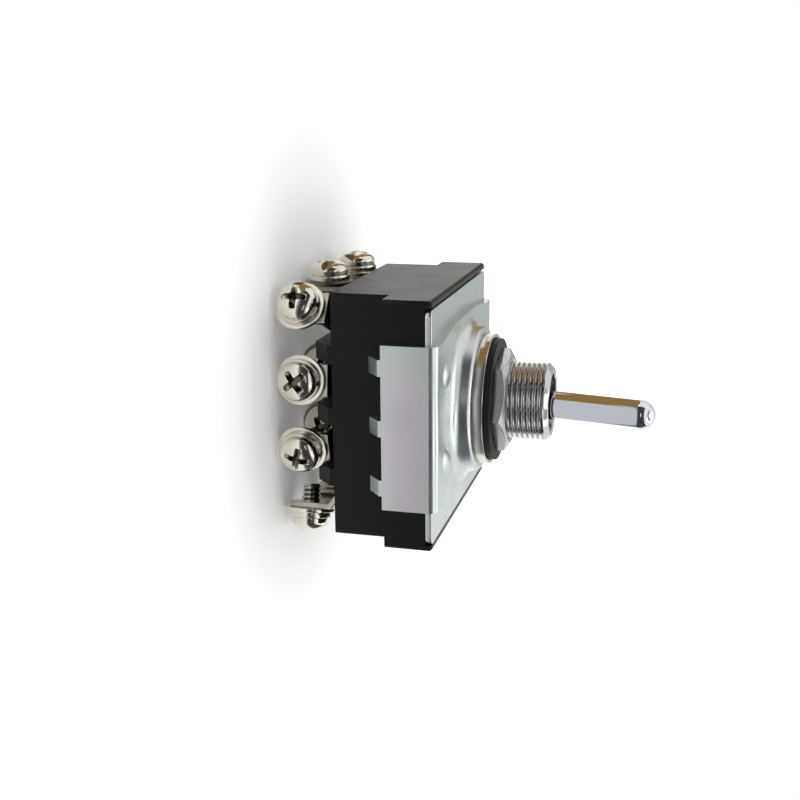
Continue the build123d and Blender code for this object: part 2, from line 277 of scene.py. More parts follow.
def placed(rings: np.ndarray, where: Matrix) -> np.ndarray:
    """Move an array (..., 3) of points by a 4 by 4 matrix."""
    m = np.array(where)
    return rings @ m[:3, :3].T + m[:3, 3]


def turned(degrees: float, axis: str) -> Matrix:
    """Make the 4 by 4 matrix of a rotation about X, Y or Z."""
    return Matrix.Rotation(math.radians(degrees), 4, axis)


def bevel_edges(piece: Piece, width: float, angle: float) -> None:
    """Add a bevel to a piece's crisp edges.

    Args:
        piece: the piece.
        width: width of the bevel.
        angle: angle in degrees above which an edge is crisp.
    """
    bevel = piece.modifiers.new("soft edges", "BEVEL")
    bevel.width = width * MM
    bevel.segments = BEVEL_SEGMENTS
    bevel.limit_method = "ANGLE"
    bevel.angle_limit = math.radians(angle)
    bevel.harden_normals = True


# Shader nodes


def filled(tree: Tree, node: Node, inputs: dict[str | int, Value]) -> Node:
    """Link or set a node's inputs.

    Args:
        tree: the node's tree.
        node: the node.
        inputs: for an input's name or number, the socket to link from or the value to set.

    Returns:
        The same node.
    """
    for key, value in inputs.items():
        socket = node.inputs[key]
        if isinstance(value, Socket):
            tree.links.new(value, socket)
        else:
            socket.default_value = (*value, 1) if socket.type == "RGBA" else value
    return node


def add_node(tree: Tree, kind: str, inputs: dict[str | int, Value], operation: str = "",
             group: Tree | None = None) -> Node:
    """Add a shader node.

    Args:
        tree: the tree to add it to.
        kind: the node's type, without the ShaderNode that its name starts with.
        inputs: its inputs, as in filled.
        operation: what a math node does.
        group: the shared group that a group node places.

    Returns:
        The new node.
    """
    node = tree.nodes.new(f"ShaderNode{kind}")
    if operation:
        node.operation = operation
    if group:
        node.node_tree = group
    return filled(tree, node, inputs)


def object_place(tree: Tree) -> Socket:
    """Add a node for Object coordinates."""
    return add_node(tree, "TexCoord", {}).outputs["Object"]


def add_noise(tree: Tree, vector: Socket, scale: Socket, detail: float) -> Socket:
    """Add a noise texture that reads a place."""
    inputs = {"Vector": vector, "Scale": scale, "Detail": detail}
    return add_node(tree, "TexNoise", inputs).outputs["Fac"]


def add_mapping(tree: Tree, vector: Socket, scale: Point, offset: Point = (0, 0, 0)) -> Socket:
    """Add a mapping, which multiplies a place by scale and then adds offset."""
    inputs = {"Vector": vector, "Scale": scale, "Location": offset}
    return add_node(tree, "Mapping", inputs).outputs["Vector"]


def add_length(tree: Tree, vector: Socket) -> Socket:
    """Add a node for a vector's length."""
    return add_node(tree, "VectorMath", {0: vector}, "LENGTH").outputs["Value"]


def add_math(tree: Tree, kind: str, a: Socket | float, b: Socket | float) -> Socket:
    """Add a math node of two values."""
    return add_node(tree, "Math", {0: a, 1: b}, kind).outputs[0]


def add_bump(tree: Tree, height: Socket, strength: float, distance: float) -> Socket:
    """Add a bump, where a height of 1 stands for the distance in metres."""
    inputs = {"Height": height, "Strength": strength, "Distance": distance}
    return add_node(tree, "Bump", inputs).outputs["Normal"]


def ranged(tree: Tree, value: Socket, low: float, high: float,
           span: tuple[float, float] = NOISE_RANGE) -> Socket:
    """Map a value's span to low and high."""
    inputs = {"Value": value, "From Min": span[0], "From Max": span[1],
              "To Min": low, "To Max": high}
    return add_node(tree, "MapRange", inputs).outputs["Result"]


def mixed(tree: Tree, amount: Socket | float, a: Socket | Colour, b: Socket | Colour,
          blend: str = "MIX") -> Socket:
    """Blend two colours.

    Args:
        tree: the tree to add the node to.
        amount: share of the second colour.
        a: first colour.
        b: second colour.
        blend: kind of blend.

    Returns:
        The blended colour.
    """
    node = add_node(tree, "Mix", {})
    node.data_type = "RGBA"
    node.blend_type = blend
    return filled(tree, node, {0: amount, 6: a, 7: b}).outputs[2]


def add_ramp(tree: Tree, value: Socket, stops: Sequence[tuple[float, Colour]]) -> Socket:
    """Add a colour ramp.

    Args:
        tree: the tree to add it to.
        value: the value that it reads.
        stops: place and colour of each stop.

    Returns:
        The ramp's colour.
    """
    node = add_node(tree, "ValToRGB", {"Fac": value})
    elements = node.color_ramp.elements
    while len(elements) < len(stops):
        elements.new(0.5)
    for element, (place, colour) in zip(elements, stops):
        element.position = place
        element.color = (*colour, 1)
    return node.outputs["Color"]


def new_group(name: str, inputs: dict[str, float], outputs: dict[str, str]
              ) -> tuple[Tree, Node, Node]:
    """Start a shader node group.

    Args:
        name: name of the group.
        inputs: default value of each number input.
        outputs: kind of each output, Float or Color.

    Returns:
        The group, its input node and its output node.
    """
    group = bpy.data.node_groups.new(name, "ShaderNodeTree")
    for label, value in inputs.items():
        socket = group.interface.new_socket(label, in_out="INPUT", socket_type="NodeSocketFloat")
        socket.default_value = value
    for label, kind in outputs.items():
        group.interface.new_socket(label, in_out="OUTPUT", socket_type=f"NodeSocket{kind}")
    return group, group.nodes.new("NodeGroupInput"), group.nodes.new("NodeGroupOutput")


def start_material(name: str) -> tuple[bpy.types.Material, Tree, Node]:
    """Start a material.

    Args:
        name: name of the material.

    Returns:
        The material, its tree and its Principled shader.
    """
    material = bpy.data.materials.new(name)
    material.use_nodes = True
    tree = material.node_tree
    return material, tree, tree.nodes["Principled BSDF"]


@dataclass(frozen=True)
class SharedEffects:
    """Node groups that several finishes use."""

    mottle: Tree
    film: Tree
    rub: Tree

    @classmethod
    def build(cls) -> "SharedEffects":
        """Make every shared group once."""
        return cls(cls._mottle(), cls._film(), cls._rub())

    @staticmethod
    def _mottle() -> Tree:
        """Make a cloudy value from 0 to 1 and a fine bump height, on Object coordinates.

        Returns:
            The group.
        """
        group, given, out = new_group("mottle", {"Cloud scale": 120.0, "Grain scale": 3000.0},
                                      {"Cloud": "Float", "Grain": "Float"})
        place = object_place(group)
        filled(group, out, {
            label: add_noise(group, place, given.outputs[f"{label} scale"], detail)
            for label, detail in (("Cloud", 4.0), ("Grain", 2.0))})
        return group

    @staticmethod
    def _film() -> Tree:
        """Make the faint rainbow tint of a passivated plating.

        The film's thickness is a slow noise plus the distance from the middle of the folded arms,
        in half widths of an arm, and a ramp turns it into pink, grey, green and blue.

        Returns:
            The group.
        """
        group, given, out = new_group("passivation_film", {"Scale": 60.0}, {"Tint": "Color"})
        place = object_place(group)
        slow = add_noise(group, place, given.outputs["Scale"], 1.5)
        arm = add_length(group, add_mapping(group, place, ARM_SCALE, ARM_OFFSET))
        thickness = add_math(group, "ADD", add_math(group, "MULTIPLY", slow, FILM_CLOUD),
                             add_math(group, "MULTIPLY", arm, FILM_REACH))
        filled(group, out, {"Tint": add_ramp(group, thickness, [
            (0.30, (1.0, 0.90, 0.97)), (0.46, (1.0, 0.94, 0.98)), (0.58, (0.97, 1.0, 0.98)),
            (0.70, (0.92, 1.0, 0.95)), (0.82, (0.955, 0.99, 0.97)),
            (0.95, (0.97, 0.985, 1.0))])})
        return group

    @staticmethod
    def _rub() -> Tree:
        """Make fine rubbed lines along X: noise drawn out in that direction.

        Returns:
            The group.
        """
        group, given, out = new_group("rubbed_lines", {"Scale": 900.0}, {"Lines": "Float"})
        drawn_out = add_mapping(group, object_place(group), LINE_STRETCH)
        filled(group, out, {"Lines": add_noise(group, drawn_out, given.outputs["Scale"], 3.0)})
        return group


@dataclass(frozen=True)
class MouldedPlastic:
    """Moulded plastic with a faint cloudiness and a fine grain."""

    name: str
    colour: Colour
    cloud_colour: Colour
    roughness: tuple[float, float] = (0.38, 0.52)
    grain: float = 0.12
    gloss: float = 0.5
    refraction: float = 1.55
    cloud_scale: float = 180.0
    grain_scale: float = 5200.0
    grain_height: float = 0.00004

    def build(self, shared: SharedEffects) -> bpy.types.Material:
        """Make the material.

        Args:
            shared: the shared node groups.

        Returns:
            The new material.
        """
        material, tree, shader = start_material(self.name)
        scales = {"Cloud scale": self.cloud_scale, "Grain scale": self.grain_scale}
        mottle = add_node(tree, "Group", scales, group=shared.mottle)
        cloud, grain = mottle.outputs["Cloud"], mottle.outputs["Grain"]
        filled(tree, shader, {
            "Base Color": mixed(tree, cloud, self.colour, self.cloud_colour),
            "Roughness": ranged(tree, cloud, *self.roughness),
            "Normal": add_bump(tree, grain, self.grain, self.grain_height),
            "IOR": self.refraction, "Specular IOR Level": self.gloss})
        return material


@dataclass(frozen=True)
class Plating:
    """Plated metal: base colour, stains, rainbow film, painted shade in threads and recesses."""

    name: str
    colour: Colour
    stain_colour: Colour
    roughness: tuple[float, float]
    film: float = 0.0
    stain: float = 0.5
    lines: float = 0.0
    grain: float = 0.04
    # Painted shade: how far the shade mask darkens the colour in threads and recesses.
    painted_shade: float = 0.0
    painted_shade_colour: Colour = (0.05, 0.045, 0.04)
    film_scale: float = 70.0
    line_scale: float = 2600.0
    cloud_scale: float = 140.0
    grain_scale: float = 4200.0
    grain_height: float = 0.00003

    def build(self, shared: SharedEffects) -> bpy.types.Material:
        """Make the material.

        Args:
            shared: the shared node groups.

        Returns:
            The new material.
        """
        material, tree, shader = start_material(self.name)
        scales = {"Cloud scale": self.cloud_scale, "Grain scale": self.grain_scale}
        mottle = add_node(tree, "Group", scales, group=shared.mottle)
        cloud, height = mottle.outputs["Cloud"], mottle.outputs["Grain"]
        stained = ranged(tree, cloud, 0.0, self.stain)
        colour = mixed(tree, stained, self.colour, self.stain_colour)
        if self.film:
            film = add_node(tree, "Group", {"Scale": self.film_scale}, group=shared.film)
            colour = mixed(tree, self.film, colour, film.outputs["Tint"], "MULTIPLY")
        if self.painted_shade:
            # Painted shade: darker in thread roots, recesses and where the lever enters the
            # bushing.
            shade_mask = add_node(tree, "Attribute", {})
            shade_mask.attribute_name = SHADE_MASK
            painted_shade = add_math(tree, "MULTIPLY", shade_mask.outputs["Fac"], self.painted_shade)
            colour = mixed(tree, painted_shade, colour, self.painted_shade_colour)
        if self.lines:
            rub = add_node(tree, "Group", {"Scale": self.line_scale}, group=shared.rub)
            lines = add_math(tree, "MULTIPLY", rub.outputs["Lines"], self.lines)
            height = add_math(tree, "ADD", height, lines)
        filled(tree, shader, {
            "Base Color": colour, "Metallic": 1.0,
            "Roughness": ranged(tree, cloud, *self.roughness),
            "Normal": add_bump(tree, height, self.grain, self.grain_height)})
        return material


class Finish(Enum):
    """Every finish of the switch, with its recipe."""

    PHENOLIC = MouldedPlastic("black phenolic", (0.004, 0.004, 0.0042), (0.006, 0.0058, 0.0058),
                              (0.34, 0.38), gloss=0.15)
    ZINC = Plating("zinc plated steel", (0.66, 0.67, 0.67), (0.61, 0.62, 0.62), (0.27, 0.36),
                   film=1.0, lines=0.5)
    COVER = Plating("plated cover steel", (0.66, 0.68, 0.70), (0.6, 0.62, 0.64), (0.28, 0.36),
                    film=0.5, grain=0.05)
    # The grime amounts below are painted shade: they darken thread roots, the bore, screw recesses
    # and the lever's foot.
    BUSHING = Plating("nickel plated bushing", (0.62, 0.62, 0.63), (0.54, 0.54, 0.54),
                      (0.12, 0.2), painted_shade=0.6, painted_shade_colour=(0.18, 0.18, 0.185))
    RING = Plating("plated locating ring", (0.62, 0.63, 0.59), (0.54, 0.54, 0.5), (0.16, 0.28))
    DARK_WASHER = MouldedPlastic("black oxide steel", (0.012, 0.012, 0.013),
                                 (0.008, 0.008, 0.009), (0.45, 0.6), grain=0.1, gloss=0.25)
    NUT = Plating("nickel plated nut", (0.5, 0.5, 0.51), (0.44, 0.44, 0.46), (0.14, 0.24))
    CHROME = Plating("polished chrome", (0.74, 0.745, 0.80), (0.70, 0.71, 0.77), (0.05, 0.09),
                     grain=0.01, painted_shade=0.85)
    SCREW = Plating("nickel plated screw", (0.74, 0.72, 0.63), (0.62, 0.59, 0.49), (0.1, 0.18),
                    painted_shade=0.9)
    WASHER = Plating("nickel plated washer", (0.75, 0.72, 0.66), (0.64, 0.6, 0.52), (0.16, 0.26))
    # Painted shade: a darker copy of the washer finish for washers in the screws' shade.
    SHADED_WASHER = Plating("nickel washer in painted shade", (0.2, 0.185, 0.155), (0.13, 0.115, 0.09),
                          (0.26, 0.36))
    TERMINAL = Plating("tinned brass terminal", (0.46, 0.44, 0.38), (0.24, 0.21, 0.16),
                       (0.22, 0.34), stain=0.8)
    STEEL = Plating("ground steel", (0.6, 0.6, 0.6), (0.52, 0.52, 0.52), (0.2, 0.3))
    SILVER = Plating("silver plated contact", (0.85, 0.84, 0.81), (0.75, 0.73, 0.68), (0.18, 0.3))
    NYLON = MouldedPlastic("natural nylon", (0.72, 0.7, 0.64), (0.66, 0.64, 0.57))
    CARRIER = MouldedPlastic("brown carrier moulding", (0.2, 0.13, 0.08), (0.16, 0.1, 0.06))


@dataclass(frozen=True)
class Workshop:
    """What every sub-assembly is made with: the CAD nodes and the built materials."""

    nodes: dict[str, Piece]
    materials: dict[Finish, bpy.types.Material]

    @classmethod
    def build(cls, nodes: dict[str, Piece]) -> "Workshop":
        """Build the shared groups and the materials."""
        shared = SharedEffects.build()
        return cls(nodes, {finish: finish.value.build(shared) for finish in Finish})

    def dress(self, piece: Piece, node: str, finish: Finish,
              body: Body = Body.CASE) -> None:
        """Put a piece in a CAD node's place.

        Args:
            piece: the piece.
            node: name of the CAD node it stands for.
            finish: its finish.
            body: the body it rides on.
        """
        piece.data.materials.clear()
        piece.data.materials.append(self.materials[finish])
        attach(piece, body.value)
        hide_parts(node)
        LOG.info("made %s", piece.name)

    def soften(self, node: str, edge: float, finish: Finish,
               body: Body = Body.CASE) -> None:
        """Put a copy in a CAD node's place, with its triangles joined and its edges softened.

        Args:
            node: name of the CAD node.
            edge: width of its edges' bevel.
            finish: its finish.
            body: the body it rides on.
        """
        work = bmesh.new()
        work.from_mesh(self.nodes[node].data)
        bmesh.ops.remove_doubles(work, verts=work.verts, dist=MERGE_DISTANCE)
        bmesh.ops.dissolve_limit(work, angle_limit=math.radians(FLAT_ANGLE), verts=work.verts,
                                 edges=work.edges)
        mesh = bpy.data.meshes.new(f"{node}_dressed")
        work.to_mesh(mesh)
        work.free()
        mesh.polygons.foreach_set("use_smooth", np.ones(len(mesh.polygons), dtype=bool))
        piece = linked(mesh.name, mesh)
        bevel_edges(piece, edge, CRISP_ANGLE)
        piece.modifiers.new("flat faces stay flat", "WEIGHTED_NORMAL").keep_sharp = True
        self.dress(piece, node, finish, body)

    def refinish(self, node: str, finish: Finish) -> None:
        """Give a CAD node's own mesh a finish.

        Args:
            node: name of the CAD node.
            finish: the finish.
        """
        for place in self.nodes[node].material_slots:
            place.material = self.materials[finish]
        LOG.info("finished %s", node)


# Sub-assemblies; lengths in millimetres and angles in degrees


@dataclass
class Housing:
    """Moulded case, cover plate, bracket and the terminals' blades."""

    case_edge: float = 0.22
    sheet_edge: float = 0.16
    blade_edge: float = 0.14

    def build(self, shop: Workshop) -> None:
        """Copy and soften the case, the sheet metal and the blades.

        Args:
            shop: the nodes and materials.
        """
        shop.soften("terminal_base", self.case_edge, Finish.PHENOLIC)
        shop.soften("cover_plate", self.sheet_edge, Finish.COVER)
        shop.soften("mounting_bracket", self.sheet_edge, Finish.ZINC)
        for pole in POLES:
            for row in Row:
                shop.soften(f"terminal_{pole}_{row.name.lower()}", self.blade_edge,
                            Finish.TERMINAL)


@dataclass
class BushingStack:
    """Threaded bushing with the locating ring, lock washer and nut on it."""

    bushing_radius: float = 6.0
    bushing_top: float = 10.8
    bushing_chamfer: float = 0.7
    bushing_edge: float = 0.12
    flange_radius: float = 8.2
    flange_low: float = -2.4
    flange_high: float = -1.0
    bore_radius: float = 3.5
    throat: float = 3.7
    mouth_radius: float = 4.5
    mouth_margin: float = 0.02
    thread_pitch: float = 0.8
    thread_depth: float = 0.32
    thread_land: float = 0.35
    thread_step: float = 0.08
    ring_radius: float = 10.2
    ring_hole: float = 6.1
    ring_top: float = 1.6
    ring_rim: float = 0.6
    ring_edge: float = 0.14
    washer_seat: float = 1.3
    washer_edge: float = 0.08
    nut_across_flats: float = 14.0
    nut_hole: float = 6.03
    nut_mouth: float = 0.35
    nut_seat: float = 2.5
    nut_top: float = 4.5
    nut_chamfer: float = 0.35
    nut_slope: float = 30.0
    nut_turn: float = 12.0
    nut_edge: float = 0.1
    nut_crisp: float = 20.0
    sides: int = 192

    def build(self, shop: Workshop) -> None:
        """Build and dress each piece of the stack.

        Args:
            shop: the nodes and materials.
        """
        shop.dress(self._bushing(), "threaded_bushing", Finish.BUSHING)
        shop.dress(self._ring(), "locating_ring", Finish.RING)
        shop.dress(self._nut(), "hex_nut", Finish.NUT)
        shop.soften("lock_washer", self.washer_edge, Finish.DARK_WASHER)

    def _bushing(self) -> Piece:
        """Turn the bushing from its profile, and cut the thread into its outside.

        Returns:
            The bushing.
        """
        r, top = self.bushing_radius, self.bushing_top
        chamfer = top - self.bushing_chamfer
        outline = rounded([
            (self.bore_radius, self.flange_low), (self.flange_radius, self.flange_low),
            (self.flange_radius, self.flange_high), (r, self.flange_high), (r, chamfer),
            (r - self.bushing_chamfer, top), (self.mouth_radius, top),
            (self.bore_radius, self.throat)], self.bushing_edge, closed=True)
        profile = sampled(np.vstack([outline, outline[:1]]), self.thread_step)[:-1]
        rings, root = threaded(turned_rings(profile, self.sides), r, self.thread_depth,
                               self.thread_pitch, self.nut_seat, chamfer, self.thread_land)
        # Painted shade: the thread's roots and the bore inside the mouth are darkened through the
        # shade mask.
        across = np.hypot(rings[..., 0], rings[..., 1])
        inside = across < self.mouth_radius - self.mouth_margin
        return grid_mesh("bushing_with_thread", rings, loop=True, shade=np.maximum(root, inside))

    def _ring(self) -> Piece:
        """Turn the locating ring from its profile, with rounded edges and a raised rim.

        Returns:
            The ring.
        """
        inner = self.ring_radius - self.ring_rim
        profile = rounded([
            (self.ring_hole, 0), (self.ring_radius, 0), (self.ring_radius, self.ring_top),
            (inner, self.ring_top), (inner, self.washer_seat),
            (self.ring_hole, self.washer_seat)], self.ring_edge, closed=True)
        return grid_mesh("locating_ring_turned", turned_rings(profile, self.sides), loop=True)

    def _nut(self) -> Piece:
        """Build the hexagon nut.

        Its side at angle a has the radius half the width over cos(a'), with a' the angle from the
        middle of the flat, and the chamfer cone cuts the top wherever it is lower.

        Returns:
            The nut.
        """
        low, high = self.nut_seat, self.nut_top
        half = self.nut_across_flats / 2
        seat = half - self.nut_chamfer
        angle = round_angles(self.sides)
        off = (angle + np.pi / 6) % (np.pi / 3) - np.pi / 6
        flat = half / np.cos(off)
        edge = high - np.maximum(flat - seat, 0) * math.tan(math.radians(self.nut_slope))
        rings = np.array([polar(radius, angle, level) for radius, level in (
            (self.nut_hole, low), (flat, low), (flat, edge), (seat, high),
            (self.nut_hole + self.nut_mouth, high), (self.nut_hole, high - self.nut_mouth))])
        piece = grid_mesh("hex_nut_turned", placed(rings, turned(self.nut_turn, "Z")), loop=True,
                          sharp=self.nut_crisp)
        bevel_edges(piece, self.nut_edge, self.nut_crisp)
        return piece


@dataclass
class Lever:
    """Round lever with its domed end, ball and tail, tilted about the pivot."""

    radius: float = 2.2
    reach: float = 25.3
    dome: float = 2.3
    ball_radius: float = 3.4
    tail: float = 7.4
    tail_edge: float = 0.15
    bore_radius: float = 1.4
    bore_top: float = 2.4
    pivot: float = 1.7
    tilt: float = 11.5
    # Level along the lever below which painted shade darkens it, where it goes into the bushing.
    foot: float = 10.2
    foot_fade: float = 0.5
    ball_points: int = 40
    dome_points: int = 24
    step: float = 0.5
    sides: int = 128

    def build(self, shop: Workshop) -> None:
        """Build the lever and finish what rides with it.

        Args:
            shop: the nodes and materials.
        """
        shop.dress(self._lever(), "lever", Finish.CHROME, Body.LEVER)
        shop.refinish("plunger", Finish.NYLON)
        shop.refinish("plunger_spring", Finish.STEEL)
        shop.refinish("pivot_pin", Finish.STEEL)

    def _lever(self) -> Piece:
        """Turn the lever from its profile; its end is half an ellipse and its ball a circle's arc.

        Returns:
            The lever.
        """
        start = math.asin(self.radius / self.ball_radius)
        a = np.linspace(start, math.pi - start, self.ball_points)
        ball = np.stack([self.ball_radius * np.sin(a), -self.ball_radius * np.cos(a)], axis=-1)
        a = np.linspace(0, np.pi / 2, self.dome_points)[:-1]
        shoulder = self.reach - self.dome
        tip = np.stack([self.radius * np.cos(a), shoulder + self.dome * np.sin(a)], axis=-1)
        tail = rounded([(self.bore_radius, -self.bore_top), (self.bore_radius, -self.tail),
                        (self.radius, -self.tail), (self.radius, ball[0, 1])], self.tail_edge)
        rings = turned_rings(sampled(np.vstack([tail[:-1], ball, tip]), self.step), self.sides)
        lean = Matrix.Translation((0, 0, self.pivot)) @ turned(self.tilt, "X")
        ends = np.array([[0, 0, -self.bore_top], [0, 0, self.reach]])
        # Painted shade: the lever darkens below this level, where it goes down into the bushing.
        foot = np.clip((self.foot - rings[..., 2]) / self.foot_fade, 0, 1)
        return grid_mesh("lever_turned", placed(rings, lean), poles=placed(ends, lean), shade=foot)


@dataclass
class TerminalScrews:
    """Screws, flat washers and split washers on the terminals."""

    facing: tuple[tuple[Row, tuple[float, ...]], ...] = (   # from -Y towards -X, by pole
        (Row.NEAR, (35, 6, -15, -75)), (Row.COMMON, (90, 0, 0, -90)),
        (Row.FAR, (90, 180, 180, -90)))
    pitch: float = 9.5
    level: float = -25.0
    far_lift: float = 1.1
    spins: tuple[float, float] = (37.0, 11.0)   # turn each screw by pole and by row
    jog: float = 2.6
    short_jog: float = 1.3
    blade_half: float = 0.45
    shank_radius: float = 1.5
    shank_length: float = 5.2
    shank_plain: float = 1.6
    shank_chamfer: float = 0.4
    thread_pitch: float = 0.7
    thread_depth: float = 0.34
    thread_step: float = 0.1
    head_radius: float = 2.95
    head_height: float = 2.2
    head_rim: float = 0.8
    head_edge: float = 0.12
    head_powers: tuple[float, float] = (2.5, 0.62)
    head_start: float = 0.08
    head_fine: float = 2.0
    head_margin: float = 0.02
    head_crisp: float = 40.0
    head_points: tuple[int, int] = (40, 14)
    recess_half_span: float = 1.9
    recess_half_width: float = 0.4
    recess_core: float = 0.7
    recess_wall: float = 0.14
    recess_ramp: float = 1.1
    recess_depth: float = 1.5
    crowding: tuple[float, float] = (0.25, 0.4)
    crowding_limits: tuple[float, float] = (0.45, 0.65)
    crowding_fade: tuple[float, float] = (0.3, 0.6)
    flat_radius: float = 3.8
    flat_thickness: float = 0.6
    flat_edge: float = 0.16
    split_radius: float = 3.2
    split_thickness: float = 0.9
    split_edge: float = 0.14
    split_gap: float = 0.7
    split_slant: float = 30.0
    split_slant_from: float = 0.995
    hole_radius: float = 1.6
    sides: int = 128

    def axis(self, pole: int, row: Row, reach: float, spin: float = 0.0) -> Matrix:
        """Place a screw's axis.

        Args:
            pole: number of the pole.
            row: row of the terminal.
            reach: distance outwards from the blade's outer face.
            spin: turn about the screw's own axis.

        Returns:
            Matrix that takes Z to the outward direction of the screw.
        """
        lift = self.far_lift if (pole, row) == (1, Row.FAR) else 0.0
        jog = self.short_jog if (pole, row) == (4, Row.NEAR) else self.jog
        centre = Matrix.Translation(((pole - 2.5) * self.pitch, row.value, lift))
        out = Matrix.Translation((0, -jog - self.blade_half - reach, self.level))
        facing = turned(-dict(self.facing)[row][pole - 1], "Z")
        return centre @ facing @ out @ turned(90, "X") @ turned(spin, "Z")

    def build(self, shop: Workshop) -> None:
        """Build and dress the screws and washers of every terminal.

        Args:
            shop: the nodes and materials.
        """
        (screw, shade_mask), washer = self._screw_rings(), self._washer_rings()
        ends = np.array([[0, 0, self.head_height - self.recess_depth],
                         [0, 0, -self.shank_length]])
        under = self.flat_thickness + self.split_thickness
        for pole in POLES:
            for row in Row:
                tag = f"{pole}_{row.name.lower()}"
                spin = (pole * self.spins[0] + row.value * self.spins[1]) % 90
                where = self.axis(pole, row, under, spin)
                piece = grid_mesh(f"screw_{tag}", placed(screw, where), poles=placed(ends, where),
                                  sharp=self.head_crisp, shade=shade_mask)
                shop.dress(piece, f"terminal_screw_{tag}", Finish.SCREW)
                piece = grid_mesh(f"washer_{tag}", placed(washer, self.axis(pole, row, 0.0)),
                                  loop=True)
                # The common row's washers get the darker finish as painted shade.
                finish = Finish.SHADED_WASHER if row is Row.COMMON else Finish.WASHER
                shop.dress(piece, f"flat_washer_{tag}", finish)
            shop.dress(self._split_washers(pole), f"spring_washers_{pole}", Finish.WASHER)

    def _recess(self, x: np.ndarray, y: np.ndarray) -> np.ndarray:
        """Work out the depth from 0 to 1 of the cross recess.

        An arm is as deep as its floor, which rises to nothing at the arm's end, where the point
        lies within the arm's half width, and fades to nothing over the wall's width. A small
        round hollow joins the arms.

        Args:
            x: places along one arm.
            y: places along the other arm.

        Returns:
            The depth at each place.
        """
        x, y = np.abs(x), np.abs(y)
        depth = np.clip((self.recess_core - np.hypot(x, y)) / self.recess_wall + 0.5, 0, 1)
        for across, along in ((x, y), (y, x)):
            side = np.clip((self.recess_half_width - across) / self.recess_wall + 0.5, 0, 1)
            floor = np.clip((self.recess_half_span - along) / self.recess_ramp, 0, 1)
            depth = np.maximum(depth, side * floor)
        return depth

    def _angles(self, radii: np.ndarray) -> np.ndarray:
        """Work out the angles of the points round the head, crowded along the recess's walls.

        Within each arm's quarter, u runs from -1 to 1. The inner and outer edges of a wall lie at
        the two values of crowding, at the angles where a circle of the given radius crosses them.
        Outside the recess the angles even out.

        Args:
            radii: array (n, 1) of radii.

        Returns:
            Array (n, sides) of angles.
        """
        count = self.sides // 4
        u = ((np.arange(count) - count / 2) / (count / 2))[None, :]
        size, quarter = np.abs(u), np.pi / 4
        near, far = self.crowding
        inner, outer = (
            np.minimum(np.arcsin(np.clip(
                (self.recess_half_width + side * self.recess_wall / 2) / radii, 0, 1)),
                limit * quarter) for side, limit in zip((-1, 1), self.crowding_limits))
        wall = inner + (outer - inner) * (size - near) / (far - near)
        beyond = outer + (quarter - outer) * (size - far) / (1 - far)
        crowded = np.where(size < near, inner * size / near, np.where(size < far, wall, beyond))
        margin, fade = self.crowding_fade
        pull = np.clip((self.head_radius - margin - radii) / fade, 0, 1)
        angle = np.sign(u) * (pull * crowded + (1 - pull) * quarter * size)
        return np.concatenate([angle + k * np.pi / 2 for k in range(4)], axis=1)

    def _screw_rings(self) -> tuple[np.ndarray, np.ndarray]:
        """Work out the rings of a screw: its recessed top, then rim, seat and threaded shank.

        With p and q the head's powers, the top's level at radius r is the rim's plus
        (height - rim) (1 - (r / R)^p)^q, less the recess.

        Returns:
            The rings, and the painted shade of each point, in the recess and the thread's roots.
        """
        rim, fine, (many, few) = self.head_radius, self.head_fine, self.head_points
        radii = np.concatenate([
            np.linspace(self.head_start, fine, many),
            np.linspace(fine + self.head_start, rim - self.head_margin, few)])[:, None]
        top = polar(radii, self._angles(radii), 0.0)
        power, root_power = self.head_powers
        dome = self.head_rim + (self.head_height - self.head_rim) * (
            1 - (radii / rim) ** power) ** root_power
        # Painted shade: the recess's depth also darkens the head's colour.
        depth = self._recess(top[..., 0], top[..., 1])
        floor = self.head_height - self.recess_depth
        top[..., 2] = dome - depth * np.maximum(dome - floor, 0)
        below = rounded([(rim, self.head_rim), (rim, 0), (self.shank_radius, 0),
                         (self.shank_radius, self.shank_chamfer - self.shank_length),
                         (self.shank_radius - self.shank_chamfer, -self.shank_length)],
                        self.head_edge)
        rings = turned_rings(sampled(below, self.thread_step), self.sides)
        rings, root = threaded(rings, self.shank_radius, self.thread_depth, self.thread_pitch,
                               -self.shank_length, -self.shank_plain)
        below = placed(rings, turned(-45, "Z"))    # the head's first point stands at -45 degrees
        return np.concatenate([top, below]), np.concatenate([depth, root])

    def _washer_rings(self) -> np.ndarray:
        """Work out the rings of a flat washer with rounded edges."""
        profile = rounded([
            (self.hole_radius, 0), (self.flat_radius, 0), (self.flat_radius, self.flat_thickness),
            (self.hole_radius, self.flat_thickness)], self.flat_edge, closed=True)
        return turned_rings(profile, self.sides)

